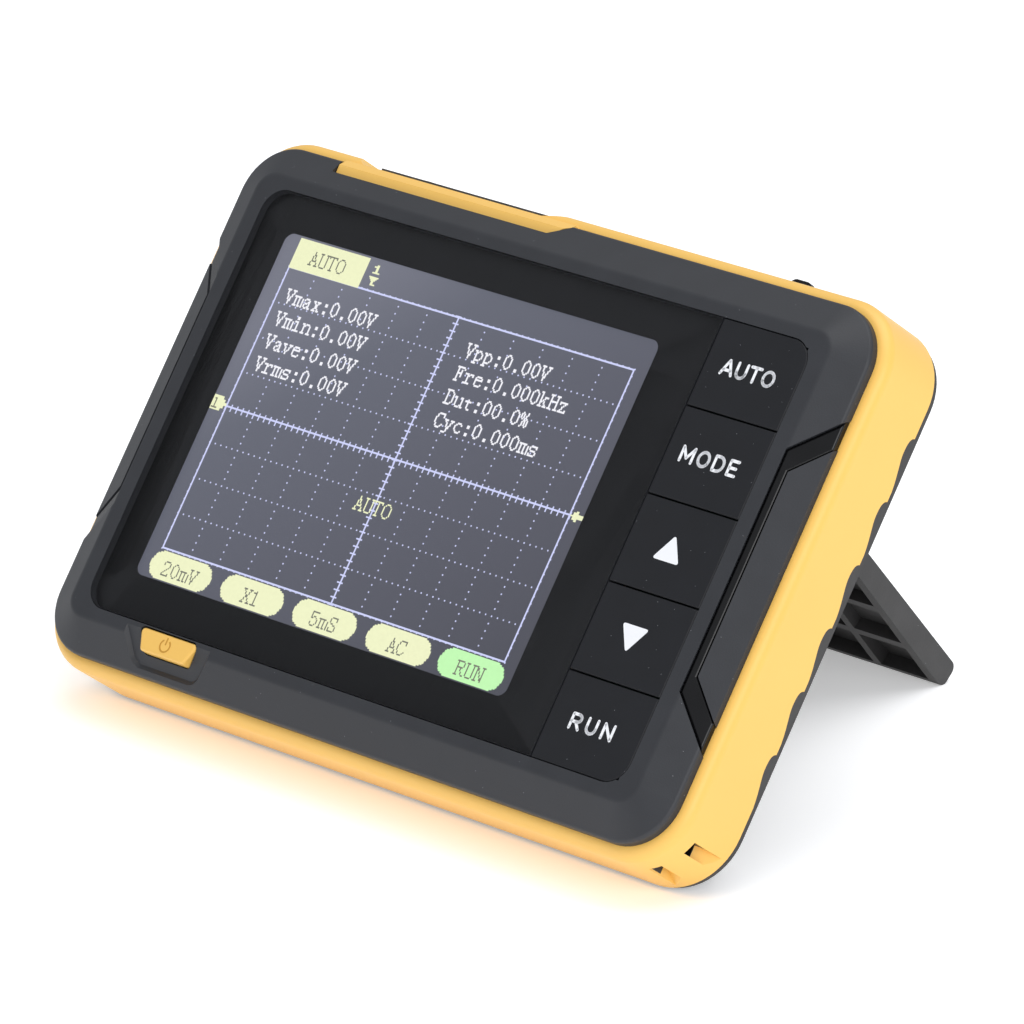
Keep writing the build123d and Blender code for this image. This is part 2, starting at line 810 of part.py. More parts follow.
def board_chip(name, x, v, width, height, tall, lead=0.0):
    """Flat package on the back of the board, with a row of legs when lead is given."""
    with BuildPart() as chip:
        with BuildSketch(facing(board_back + tall)):
            with Locations((x, v)):
                Rectangle(width, height)
        extrude(amount=tall)
        chamfer(outer_edges(chip.part, board_back + tall), 0.12)
        if lead:
            pins = int(height / 0.8) - 1
            with BuildSketch(facing(board_back + 0.25)):
                with Locations((x, v)):
                    with GridLocations(width + lead, 0.8, 2, pins):
                        Rectangle(lead, 0.35)
            extrude(amount=0.25)
    finish(chip, name)


board_chip("processor_chip", 8.0, 22.6, 7.0, 7.0, 0.9)
board_chip("converter_chip", -12.0, 17.2, 5.3, 6.0, 1.2, 0.9)
board_chip("amplifier_chip", -26.5, 17.2, 4.0, 5.0, 1.3, 0.9)
board_chip("coupling_relay", -37.0, 16.0, 4.4, 6.4, 2.0, 0.9)
board_chip("charger_chip", 20.5, 22.8, 4.0, 5.0, 1.3, 0.9)
board_chip("power_inductor", 30.4, 17.5, 5.0, 5.0, 1.8)
board_chip("crystal", 15.6, 24.4, 2.5, 3.2, 0.7)

with BuildPart() as passives:
    # resistors and capacitors beside the input stage and the supply
    with BuildSketch(facing(board_back + 0.5)):
        with Locations((-33.0, 2.0)):
            with GridLocations(3.0, 3.2, 2, 6):
                Rectangle(1.6, 0.8)
        with Locations((33.0, 5.0)):
            with GridLocations(3.0, 3.2, 2, 4):
                Rectangle(0.8, 1.6)
    extrude(amount=0.5)
finish(passives, "passives")

# ======================================================================
# Probe socket: shell, insulator and centre contact
barrel_top = half_h + 0.2
block_side = 2 * probe_radius + 0.4
block_top = board_h / 2 + 0.4
block_bottom = block_top - 5.0
seat_v = barrel_top - probe_bore_length
contact_radius = 0.5
contact_hole = 0.25
contact_depth = 1.8

with BuildPart() as probe_socket:
    with BuildSketch(above(block_bottom)):
        with Locations((probe_x, probe_d)):
            Rectangle(block_side, 2 * (probe_d - board_back))
    extrude(amount=block_top - block_bottom)
    with BuildSketch(above(block_top)):
        with Locations((probe_x, probe_d)):
            Circle(probe_radius)
    extrude(amount=barrel_top - block_top)
    with BuildSketch(above(seat_v)):
        with Locations((probe_x, probe_d)):
            Circle(probe_bore)
    extrude(amount=2 * probe_bore_length, mode=Mode.SUBTRACT)
    with BuildSketch(above(block_bottom + 1)):
        with Locations((probe_x, probe_d)):
            Circle(insulator_radius)
    extrude(amount=seat_v - block_bottom, mode=Mode.SUBTRACT)
    # the board's edge slides under the body
    add(plain_block(probe_x, 0, 3 * block_side, board_h + 2, board_front - 1, board_back),
        mode=Mode.SUBTRACT)
finish(probe_socket, "probe_socket")

with BuildPart() as probe_insulator:
    with BuildSketch(above(block_bottom + 1)):
        with Locations((probe_x, probe_d)):
            Circle(insulator_radius)
            Circle(contact_radius, mode=Mode.SUBTRACT)
    extrude(amount=seat_v - block_bottom - 1)
finish(probe_insulator, "probe_insulator")

with BuildPart() as probe_contact:
    with BuildSketch(above(block_bottom + 1)):
        with Locations((probe_x, probe_d)):
            Circle(contact_radius)
    extrude(amount=seat_v - block_bottom - 1)
    with BuildSketch(above(seat_v)):
        with Locations((probe_x, probe_d)):
            Circle(contact_hole)
    extrude(amount=-contact_depth, mode=Mode.SUBTRACT)
finish(probe_contact, "probe_contact")

# ======================================================================
# Charging socket: folded shell and its tongue
usb_shell = 0.3
usb_length = 7.3
tongue_width = 6.69
tongue_thick = 0.7
usb_top = half_h - 0.4
usb_bottom = usb_top - usb_length

with BuildPart() as usb_socket:
    with BuildSketch(above(usb_bottom)):
        with Locations((usb_x, usb_d)):
            SlotOverall(usb_width, usb_height)
    extrude(amount=usb_length)
    with BuildSketch(above(usb_bottom + 1)):
        with Locations((usb_x, usb_d)):
            SlotOverall(usb_width - 2 * usb_shell, usb_height - 2 * usb_shell)
    extrude(amount=usb_length, mode=Mode.SUBTRACT)
finish(usb_socket, "usb_socket")

with BuildPart() as usb_tongue:
    with BuildSketch(above(usb_bottom + 1)):
        with Locations((usb_x, usb_d)):
            Rectangle(usb_width - 2 * usb_shell - usb_height + 1.2, usb_height - 2 * usb_shell - 0.2)
    extrude(amount=1.0)
    with BuildSketch(above(usb_bottom + 2)):
        with Locations((usb_x, usb_d)):
            Rectangle(tongue_width, tongue_thick)
    extrude(amount=usb_length - 2.6)
finish(usb_tongue, "usb_tongue")

# ======================================================================
# Test-signal terminal: a bent metal tab that clears the top of the band
with BuildPart() as test_terminal:
    with BuildSketch(facing(board_back + terminal_thick, terminal_x)):
        with BuildLine():
            top = half_h + terminal_rise
            FilletPolyline(
                (-terminal_width / 2, board_h / 2 - terminal_tail),
                (-terminal_width / 2, top),
                (terminal_width / 2, top),
                (terminal_width / 2, board_h / 2 - terminal_tail),
                radius=terminal_corner,
                close=True,
            )
        make_face()
    extrude(amount=terminal_thick)
finish(test_terminal, "test_terminal")

# ======================================================================
# Battery with its foam pad, lead and plug
cell_width = 50.0
cell_height = 30.0
cell_front = 9.5
pad_depth = 0.4
cell_back = bay_floor - bay_wall - pad_depth
cell_v = -3.0
plug_x = 33.5
plug_v = -13.0
plug_width = 6.0
plug_length = 5.8
plug_tall = 4.2
cell_corner = 2.0
cell_round = 1.2
pad_inset = 4.0
lead_d = (cell_front + cell_back) / 2 - 1.2
lead_drop = 4.0           # where the lead leaves the cell, below the cell's middle
lead_apart = 1.4
lead_bend = 1.2
lead_radius = 0.45

with BuildPart() as battery:
    with BuildSketch(facing(cell_back)):
        with Locations((0, cell_v)):
            RectangleRounded(cell_width, cell_height, cell_corner)
    extrude(amount=cell_back - cell_front)
    fillet(outer_edges(battery.part, cell_front), cell_round)
finish(battery, "battery")

with BuildPart() as battery_pad:
    with BuildSketch(facing(cell_back + pad_depth)):
        with Locations((0, cell_v)):
            Rectangle(cell_width - 2 * pad_inset, cell_height - 2 * pad_inset)
    extrude(amount=pad_depth)
finish(battery_pad, "battery_pad")

with BuildPart() as battery_plug:
    with BuildSketch(facing(board_back + plug_tall)):
        with Locations((plug_x, plug_v)):
            Rectangle(plug_width, plug_length)
    extrude(amount=plug_tall)
finish(battery_plug, "battery_plug")

with BuildPart() as battery_lead:
    lead_start = cell_width / 2
    lead_end = plug_x - plug_width / 2
    lead_mid = (lead_start + lead_end) / 2
    lead_v = cell_v - lead_drop
    for shift in (-lead_apart / 2, lead_apart / 2):
        with BuildLine(facing(lead_d)):
            FilletPolyline(
                (lead_start, lead_v + shift),
                (lead_mid + shift, lead_v + shift),
                (lead_mid + shift, plug_v + shift),
                (lead_end, plug_v + shift),
                radius=lead_bend,
            )
        with BuildSketch(Plane(origin=spot(lead_start, lead_v + shift, lead_d), z_dir=(1, 0, 0))):
            Circle(lead_radius)
        sweep()
finish(battery_lead, "battery_lead")

# ======================================================================
# Keys, their plungers and switches
switch_spots = [(key_x, v) for v in key_rows] + [(power_x, power_switch_v)]
switch_names = key_names + ["power"]
flange_back = flange_front + flange_depth
neck_width = key_width - 2 * key_shoulder

for name, v in zip(key_names, key_rows):
    with BuildPart() as key:
        with BuildSketch(facing(key_cap)):
            with Locations((key_x, v)):
                Rectangle(key_width, key_height)
            # the end keys follow the opening's round corners
            if name in (key_names[0], key_names[-1]):
                towards = Axis.Y if name == key_names[0] else -Axis.Y
                outer = vertices().sort_by(Axis.X)[-2:].sort_by(towards)[-1]
                fillet(outer, panel_corner - seam)
        extrude(amount=key_cap)
        chamfer(outer_edges(key.part, 0), edge_break)
        add(plain_block(key_x - key_shift, v, neck_width, key_height - 2 * key_shoulder, key_cap,
                        neck_front))
        add(plain_block(key_x - key_shift, v, neck_width, 2 * flange_half, neck_front, flange_front))
        add(plain_block(key_x - key_shift, v, key_width + 2 * flange_side, 2 * flange_half,
                        flange_front, flange_back))
        add(barrel(key_x, v, nub_radius, flange_back, nub_back))
    finish(key, f"key_{name}")

with BuildPart() as power_button:
    cap_back = power_floor - key_travel - 0.1
    add(power_solid(0, 0, cap_back))
    fillet(outer_edges(power_button.part, 0), power_round)
    add(plain_block(power_x, stem_v, stem_width, stem_height, cap_back, flange_front))
    stem_low = stem_v - 0.75
    stem_high = power_switch_v + 1.4
    add(plain_block(power_x, (stem_low + stem_high) / 2, stem_width + 2 * flange_side, stem_high - stem_low,
                    flange_front, flange_back))
    add(barrel(power_x, power_switch_v, power_nub, flange_back, nub_back))
finish(power_button, "power_button")

for name, (x, v) in zip(switch_names, switch_spots):
    with BuildPart() as switch:
        with BuildSketch(facing(board_front)):
            with Locations((x, v)):
                Rectangle(switch_side, switch_side)
        extrude(amount=switch_height)
        add(barrel(x, v, plunger_radius + plunger_fit, board_front - switch_height,
                   board_front - 0.2), mode=Mode.SUBTRACT)
    finish(switch, f"switch_{name}")

    with BuildPart() as plunger:
        add(barrel(x, v, plunger_radius, nub_back, board_front - 0.25 - key_travel - 0.05))
    finish(plunger, f"plunger_{name}")

# ======================================================================
# Case screws
with BuildPart() as case_screws:
    seat = case_depth - head_depth
    for x, v in corners:
        add(barrel(x, v, screw_radius, shelf_back + 1.0, seat))
        add(barrel(x, v, head_radius, seat, seat + head_height))
        # cross recess
        head_top = seat + head_height
        for width, height in ((cross_length, cross_width), (cross_width, cross_length)):
            add(plain_block(x, v, width, height, head_top - cross_depth, head_top),
                mode=Mode.SUBTRACT)
finish(case_screws, "case_screws")

# ======================================================================
# Kickstand, drawn open: s runs from the pin to the foot, t towards its outer face
stand_s = up_face * -cos(stand_rad) + backward * sin(stand_rad)
stand_t = up_face * sin(stand_rad) + backward * cos(stand_rad)
pin_spot = spot(0, pin_v, pin_depth)
stand_side = Plane(origin=pin_spot, x_dir=stand_s, z_dir=(1, 0, 0))
stand_under = Plane(origin=pin_spot - stand_t * pocket_floor, x_dir=(1, 0, 0), z_dir=-stand_t)
pocket_length = stand_length - pocket_start - pocket_edge
pocket_mid = pocket_start + pocket_length / 2
pocket_pitch_x = (stand_width - 2 * pocket_edge + rib_width) / pocket_columns
pocket_pitch_s = (pocket_length + rib_width) / pocket_rows

with BuildPart() as kickstand:
    with BuildSketch(stand_side):
        Circle(knuckle_radius)
        with BuildLine():
            Polyline(
                (0, knuckle_radius),
                (stand_length, knuckle_radius),
                (stand_length, -foot_inner),
                (stand_length - 3 * foot_round, -foot_inner),
                (0, -knuckle_radius + 0.5),
                close=True,
            )
        make_face()
        foot_corners = vertices().sort_by(Axis.X)[-2:]
        fillet(foot_corners, foot_round)
    extrude(amount=stand_width / 2, both=True)
    # square pockets under the foot half, with ribs between them
    with BuildSketch(stand_under):
        with Locations((0, -pocket_mid)):
            with GridLocations(pocket_pitch_x, pocket_pitch_s, pocket_columns, pocket_rows):
                Rectangle(pocket_pitch_x - rib_width, pocket_pitch_s - rib_width)
    extrude(amount=3 * foot_inner, mode=Mode.SUBTRACT)
    with BuildSketch(stand_side):
        Circle(pin_radius + pin_fit)
    extrude(amount=stand_width, both=True, mode=Mode.SUBTRACT)
finish(kickstand, "kickstand")

with BuildPart() as hinge_pin:
    with BuildSketch(across(0)):
        with Locations((pin_v, -pin_depth)):
            Circle(pin_radius)
    extrude(amount=stand_bay / 2 + pin_reach, both=True)
finish(hinge_pin, "hinge_pin")
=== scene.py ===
import bpy
import bmesh
import json
import math
from mathutils import Matrix, Vector


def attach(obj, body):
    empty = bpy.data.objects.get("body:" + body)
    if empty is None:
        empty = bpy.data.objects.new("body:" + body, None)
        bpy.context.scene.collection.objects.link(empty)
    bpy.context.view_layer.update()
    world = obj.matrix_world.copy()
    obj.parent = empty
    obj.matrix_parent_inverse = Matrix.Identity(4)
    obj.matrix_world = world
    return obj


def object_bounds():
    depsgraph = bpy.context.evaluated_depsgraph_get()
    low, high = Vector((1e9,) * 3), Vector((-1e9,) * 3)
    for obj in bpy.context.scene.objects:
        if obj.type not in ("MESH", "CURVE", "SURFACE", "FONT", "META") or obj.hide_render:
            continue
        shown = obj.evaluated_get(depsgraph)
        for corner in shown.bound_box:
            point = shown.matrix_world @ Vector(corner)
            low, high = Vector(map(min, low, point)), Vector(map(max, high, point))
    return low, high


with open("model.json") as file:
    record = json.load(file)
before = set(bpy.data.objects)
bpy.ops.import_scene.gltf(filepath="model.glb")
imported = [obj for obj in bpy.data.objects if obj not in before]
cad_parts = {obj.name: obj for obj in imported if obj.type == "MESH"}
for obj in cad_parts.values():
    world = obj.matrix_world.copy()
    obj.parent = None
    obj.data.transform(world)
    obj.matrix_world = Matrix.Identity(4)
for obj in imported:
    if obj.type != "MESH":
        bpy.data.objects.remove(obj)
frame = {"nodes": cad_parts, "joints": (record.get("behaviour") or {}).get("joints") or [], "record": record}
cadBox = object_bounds()
nodes = frame["nodes"]
mm = 0.001

# the case's own directions, read from the keys' joints and the probe socket
joints = {joint["name"]: joint for joint in frame["joints"]}
mounts = {mount["name"]: mount for mount in frame["record"]["mounts"]}
right = Vector((1, 0, 0))
inward = Vector(joints["mode_press"]["axis"]).normalized()  # depth grows this way
upward = Vector(mounts["probe_socket"]["axis"]).normalized()


def reach(node, way):  # a node's two ends along a direction
    found = [vertex.co.dot(way) for vertex in nodes[node].data.vertices]
    return min(found), max(found)


glassFront = reach("screen_window", inward)[0]
glassLow, glassHigh = reach("screen_window", upward)
centre = upward * ((glassLow + glassHigh) / 2) + inward * glassFront


def spot(x, v, d):  # millimetres across, up the face and behind it
    return centre + (right * x + upward * v + inward * d) * mm


def facePlace(x, v, d):  # lays local x, y on the front panel, z towards the user
    place = Matrix((right, upward, -inward)).transposed().to_4x4()
    place.translation = spot(x, v, d)
    return place


class Signal:  # one socket of a material, usable in sums
    def __init__(self, finish, socket):
        self.finish = finish
        self.socket = socket

    def join(self, operation, first, second):
        return self.finish.node("ShaderNodeMath", {"operation": operation}, {0: first, 1: second})

    def __add__(self, other):
        return self.join("ADD", self, other)

    def __sub__(self, other):
        return self.join("SUBTRACT", self, other)

    def __rsub__(self, other):
        return self.join("SUBTRACT", other, self)

    def __mul__(self, other):
        return self.join("MULTIPLY", self, other)

    def __lt__(self, other):
        return self.join("LESS_THAN", self, other)

    def __gt__(self, other):  # 0.5 < signal comes here
        return self.join("GREATER_THAN", self, other)

    __radd__ = __add__
    __rmul__ = __mul__


class Finish:  # one material and the helper that adds its nodes
    def __init__(self, name, **fixed):
        self.made = bpy.data.materials.new(name)
        self.made.use_nodes = True
        self.tree = self.made.node_tree
        self.shader = self.tree.nodes["Principled BSDF"]
        self.put(**fixed)

    def put(self, **values):  # baseColor -> Base Color
        for key, value in values.items():
            label = "".join(" " + c if c.isupper() else c for c in key).title()
            self.feed(self.shader.inputs[label.replace("Ior", "IOR")], value)

    def feed(self, socket, value):
        if isinstance(value, Signal):
            self.tree.links.new(value.socket, socket)
        elif socket.type == "RGBA" and len(value) == 3:
            socket.default_value = (*value, 1)
        else:
            socket.default_value = value

    def node(self, kind, settings=None, inputs=None, output=0):
        made = self.tree.nodes.new(kind)
        for key, value in (settings or {}).items():
            if key == "stops":
                ramp = made.color_ramp.elements
                for i, (place, colour) in enumerate(value):
                    stop = ramp[i] if i < len(ramp) else ramp.new(place)
                    stop.position = place
                    stop.color = (*colour, 1)
            else:
                setattr(made, key, value)
        for key, value in (inputs or {}).items():
            self.feed(made.inputs[key], value)
        return Signal(self, made.outputs[output])

    def place(self):
        return self.node("ShaderNodeTexCoord", output="Object")

    def along(self, way, vector=None):  # how far the surface lies along a direction
        return self.node("ShaderNodeVectorMath", {"operation": "DOT_PRODUCT"},
                         {0: vector or self.place(), 1: way}, 1)

    def noise(self, perMetre, detail=2.0, rough=0.5):
        return self.node("ShaderNodeTexNoise", {}, {
            "Vector": self.place(), "Scale": perMetre, "Detail": detail, "Roughness": rough})

    def ramp(self, factor, stops):
        return self.node("ShaderNodeValToRGB", {"stops": stops}, {"Fac": factor})

    def mix(self, factor, first, second):
        return self.node("ShaderNodeMix", {"data_type": "RGBA"},
                         {0: factor, 6: first, 7: second}, 2)

    def bump(self, height, strength, distance):
        return self.node("ShaderNodeBump", {},
                         {"Height": height, "Strength": strength, "Distance": distance})

    def specks(self, perMetre, radius, share):  # sparse dots: cells, of which a share hold one
        cells = self.node("ShaderNodeTexVoronoi", {}, {"Vector": self.place(), "Scale": perMetre})
        tint = self.node("ShaderNodeTexVoronoi", {}, {"Vector": self.place(), "Scale": perMetre}, 1)
        chance = self.node("ShaderNodeSeparateColor", {}, {0: tint})
        return (cells < radius) * (chance < share)


# noise scales count per metre, reliefs are in metres, and a sway is how far roughness wanders
grainLook = {"cloud": 260, "cloudLow": 0.35, "cloudHigh": 0.7, "sway": 0.12, "fineSway": 0.05,
             "bump": 0.35}
dustLook = {"cells": 1500, "radius": 0.06, "cover": 0.5, "tone": (0.5, 0.51, 0.55)}
metalLook = {"detail": 4, "streakRough": 0.6, "darker": 0.82, "sway": 0.2, "bump": 0.12,
             "relief": 0.00004}
plainLook = {"sway": 0.15, "below": 0.07, "bump": 0.15, "relief": 0.00003}


def grainy(name, colour, rough, grain, relief, dust=0.0, lighter=1.5):
    made = Finish(name)
    cloud = made.noise(grainLook["cloud"], 3)
    fine = made.noise(grain)
    light = tuple(min(1, c * lighter) for c in colour)
    patches = made.ramp(cloud, [(grainLook["cloudLow"], (0, 0, 0)),
                                (grainLook["cloudHigh"], (1, 1, 1))])
    tone = made.mix(patches, colour, light)
    if dust:
        spots = made.specks(dustLook["cells"], dustLook["radius"], dust)
        tone = made.mix(spots * dustLook["cover"], tone, dustLook["tone"])
    made.put(baseColor=tone, roughness=cloud * grainLook["sway"] + (rough - grainLook["sway"] / 2)
             + fine * grainLook["fineSway"])
    made.put(normal=made.bump(fine, grainLook["bump"], relief))
    return made


def metal(name, colour, rough, streaks=900):
    made = Finish(name, metallic=1.0)
    streak = made.noise(streaks, metalLook["detail"], metalLook["streakRough"])
    dark = tuple(c * metalLook["darker"] for c in colour)
    made.put(baseColor=made.mix(streak, colour, dark),
             roughness=streak * metalLook["sway"] + rough - metalLook["sway"] / 2,
             normal=made.bump(streak, metalLook["bump"], metalLook["relief"]))
    return made


def plain(name, colour, rough, shade=0.8, perMetre=700):
    made = Finish(name)
    cloud = made.noise(perMetre, 3)
    made.put(baseColor=made.mix(cloud, colour, tuple(c * shade for c in colour)),
             roughness=cloud * plainLook["sway"] + rough - plainLook["below"],
             normal=made.bump(cloud, plainLook["bump"], plainLook["relief"]))
    return made


print("finishes")
bezelBlack = grainy("bezelBlack", (0.021, 0.0225, 0.027), rough=0.47, grain=5200, relief=0.00003,
                    dust=0.1, lighter=1.15)
keyBlack = grainy("keyBlack", (0.0052, 0.0058, 0.0082), rough=0.52, grain=5200, relief=0.000025,
                  dust=0.25, lighter=1.2)
keyBlack.put(specularIorLevel=0.36)
coverBlack = grainy("coverBlack", (0.028, 0.027, 0.027), rough=0.52, grain=3800, relief=0.00005,
                    dust=0.03)
trimGloss = grainy("trimGloss", (0.003, 0.003, 0.0035), rough=0.13, grain=900, relief=0.000005)
trimGloss.put(specularIorLevel=0.35)

# The yellow band. The walls of its lanyard hole are coloured dark: painted shade inside the hole, together
# with the black case that shows through it. The hole's sizes are in millimetres: half its side, half its
# depth, and the centre and radius of the round corner that it stays within.
lanyardHole = {"half": 0.8, "deep": 1.15, "turn": 3.68, "reach": 7.7}
bandLook = {"cloud": 90, "grain": 4200, "rough": 0.36, "sway": 0.08, "bump": 0.2,
            "relief": 0.00002, "tone": (0.87, 0.515, 0.112), "paleTone": (0.89, 0.54, 0.124),
            "holeShadeTone": (0.012, 0.012, 0.013)}
bandYellow = Finish("bandYellow")
bandCloud = bandYellow.noise(bandLook["cloud"])
bandFine = bandYellow.noise(bandLook["grain"])
lanyard = Vector(mounts["lanyard_hole"]["pos_m"])
holeX, holeV, holeD = (bandYellow.along(way / mm) - lanyard.dot(way) / mm
                       for way in (right, upward, inward))
cornerX, cornerV = holeX + lanyardHole["turn"], holeV - lanyardHole["turn"]
halfSquared = lanyardHole["half"] ** 2
besideHole = (1 - (holeX * holeX < halfSquared)) * (1 - (holeV * holeV < halfSquared))
withinHole = (holeD * holeD < lanyardHole["deep"] ** 2) * (
    cornerX * cornerX + cornerV * cornerV < lanyardHole["reach"] ** 2)
bandTone = bandYellow.mix(bandCloud, bandLook["tone"], bandLook["paleTone"])
# painted shade: the yellow walls inside the lanyard hole take the dark hole colour
bandYellow.put(
    baseColor=bandYellow.mix(withinHole * (1 - besideHole), bandTone, bandLook["holeShadeTone"]),
    roughness=bandFine * bandLook["sway"] + bandLook["rough"],
    normal=bandYellow.bump(bandFine, bandLook["bump"], bandLook["relief"]))

# a clear sheet with painted edges: most light passes straight through and a little is mirrored
windowLook = {"edgeTurn": 0.25, "clear": (0.004, 0.004, 0.005), "paint": (0.022, 0.0235, 0.028),
              "clearRough": 0.03, "paintRough": 0.44, "clearCover": 0.2}
windowClear = Finish("windowClear", ior=1.49)
squareOn = windowClear.along(inward, windowClear.node("ShaderNodeTexCoord", output="Normal"))
edgePaint = squareOn * squareOn < windowLook["edgeTurn"]
windowClear.put(
    baseColor=windowClear.mix(edgePaint, windowLook["clear"], windowLook["paint"]),
    roughness=edgePaint * windowLook["paintRough"] + windowLook["clearRough"],
    alpha=edgePaint * (1 - windowLook["clearCover"]) + windowLook["clearCover"])

# the black border painted behind the window, with a little dust on it
borderLook = {"cloud": 500, "tone": (0.006, 0.0064, 0.0085), "paleTone": (0.0075, 0.008, 0.0105),
              "dustCells": 1300, "dustRadius": 0.055, "dustShare": 0.16, "dustCover": 0.4}
borderBlack = Finish("borderBlack", roughness=0.45)
borderTone = borderBlack.mix(borderBlack.noise(borderLook["cloud"]), borderLook["tone"],
                             borderLook["paleTone"])
borderDust = borderBlack.specks(borderLook["dustCells"], borderLook["dustRadius"],
                                borderLook["dustShare"])
borderBlack.put(baseColor=borderBlack.mix(borderDust * borderLook["dustCover"], borderTone,
                                          dustLook["tone"]))

# the lit panel: a grey glow, brighter towards its upper left corner
glowLook = {"lean": 0.85, "spread": 0.075, "shift": 0.05,
            "stops": [(0.0, (0.105, 0.108, 0.138)), (0.45, (0.150, 0.156, 0.202)),
                      (0.8, (0.185, 0.196, 0.252)), (1.0, (0.265, 0.275, 0.345))]}
displayFace = Finish("displayFace", baseColor=(0.02, 0.02, 0.025), roughness=0.3)
cornerWay = (upward - right * glowLook["lean"]) / glowLook["spread"]
level = displayFace.along(cornerWay) - (centre.dot(cornerWay) + glowLook["shift"])
glow = displayFace.ramp(level + 0.5, glowLook["stops"])
displayFace.put(emissionColor=glow, emissionStrength=1.0)

metalSteel = metal("metalSteel", (0.62, 0.61, 0.59), rough=0.3)
# the test terminal's finish: a metal coloured almost black, as dark as the part looks
nearBlackMetal = metal("nearBlackMetal", (0.035, 0.034, 0.036), rough=0.38)
goldBrass = metal("goldBrass", (0.83, 0.62, 0.27), rough=0.28)
cellSilver = metal("cellSilver", (0.55, 0.56, 0.58), rough=0.42, streaks=160)
boardGreen = plain("boardGreen", (0.012, 0.10, 0.045), rough=0.35, shade=0.55, perMetre=350)
chipBlack = plain("chipBlack", (0.016, 0.016, 0.017), rough=0.55)
relayWhite = plain("relayWhite", (0.72, 0.71, 0.67), rough=0.4, shade=0.92)
ferriteGrey = plain("ferriteGrey", (0.055, 0.055, 0.06), rough=0.6)
ceramicTan = plain("ceramicTan", (0.42, 0.32, 0.2), rough=0.45)
foamBlack = plain("foamBlack", (0.02, 0.02, 0.022), rough=0.9, shade=0.6, perMetre=2600)
flexAmber = plain("flexAmber", (0.35, 0.14, 0.02), rough=0.3)
leadRed = plain("leadRed", (0.5, 0.03, 0.02), rough=0.4)
displayBack = plain("displayBack", (0.5, 0.51, 0.53), rough=0.35, shade=0.9)
switchBody = plain("switchBody", (0.03, 0.03, 0.032), rough=0.4)


def dress(finish, *names):
    for name in names:
        made = nodes[name].data.materials
        made.clear()
        made.append(finish.made)


keyNames = ["auto", "mode", "up", "down", "run"]
dress(bezelBlack, "front_bezel")
dress(keyBlack, *["key_" + name for name in keyNames])
dress(coverBlack, "rear_cover", "kickstand")
dress(trimGloss, "left_trim", "right_trim")
dress(bandYellow, "mid_frame", "power_button")
dress(windowClear, "screen_window")
dress(borderBlack, "window_border")
dress(displayFace, "lcd_panel")
dress(displayBack, "lcd_backlight")
dress(foamBlack, "window_adhesive", "display_pads", "battery_pad")
dress(flexAmber, "lcd_flex")
dress(boardGreen, "main_board")
dress(chipBlack, "processor_chip", "converter_chip", "amplifier_chip", "charger_chip", "usb_tongue")
dress(relayWhite, "coupling_relay", "battery_plug", "probe_insulator", "flex_socket")
dress(ferriteGrey, "power_inductor")
dress(ceramicTan, "passives")
dress(metalSteel, "crystal", "usb_socket", "hinge_pin", "case_screws")
dress(nearBlackMetal, "test_terminal")
dress(goldBrass, "probe_socket", "probe_contact")
dress(cellSilver, "battery")
dress(leadRed, "battery_lead")
dress(switchBody, *["switch_" + name for name in keyNames + ["power"]])
dress(ferriteGrey, *["plunger_" + name for name in keyNames + ["power"]])

# what the display shows
print("display")
# millimetres for the dot, the middle's place and the depth; cell, step and tick count dots
display = {"dot": 0.18, "across": -8.25, "up": 0.42, "depth": 1.2, "columns": 12, "rows": 8,
           "cell": 25, "step": 5, "tick": 5}
lampLook = {"surface": (0.02, 0.02, 0.02), "rough": 0.4, "flicker": 2500, "darker": 0.9}


def lamp(name, colour, strength):
    made = Finish(name, baseColor=lampLook["surface"], roughness=lampLook["rough"],
                  emissionStrength=strength)
    flicker = made.noise(lampLook["flicker"], 1)
    dark = tuple(c * lampLook["darker"] for c in colour)
    made.put(emissionColor=made.mix(flicker, colour, dark))
    return made


lampWhite = lamp("lampWhite", (0.92, 0.92, 0.98), 1.6)
lampLavender = lamp("lampLavender", (0.58, 0.61, 0.90), 1.75)
lampYellow = lamp("lampYellow", (0.87, 0.90, 0.57), 1.62)
lampGreen = lamp("lampGreen", (0.50, 0.88, 0.42), 1.75)
lampDim = lamp("lampDim", (0.27, 0.28, 0.22), 1.1)


def settle(name, mesh, finish, body):  # a finished piece on its body
    piece = bpy.data.objects.new(name, mesh)
    bpy.context.scene.collection.objects.link(piece)
    mesh.materials.append(finish.made)
    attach(piece, body)
    return piece


# blocks hold left, bottom, right and top in display dots; grow thickens each by a share of a dot
def readoutPiece(name, blocks, finish, depth, grow=0.0):
    mesh = bpy.data.meshes.new(name)
    points, faces = [], []
    for left, low, rightEdge, high in blocks:
        start = len(points)
        left, low, rightEdge, high = left - grow, low - grow, rightEdge + grow, high + grow
        for x, y in ((left, low), (rightEdge, low), (rightEdge, high), (left, high)):
            points.append(spot(display["across"] + x * display["dot"],
                               display["up"] + y * display["dot"], depth))
        faces.append((start, start + 1, start + 2, start + 3))
    mesh.from_pydata(points, [], faces)
    mesh.update()
    return settle(name, mesh, finish, "case")


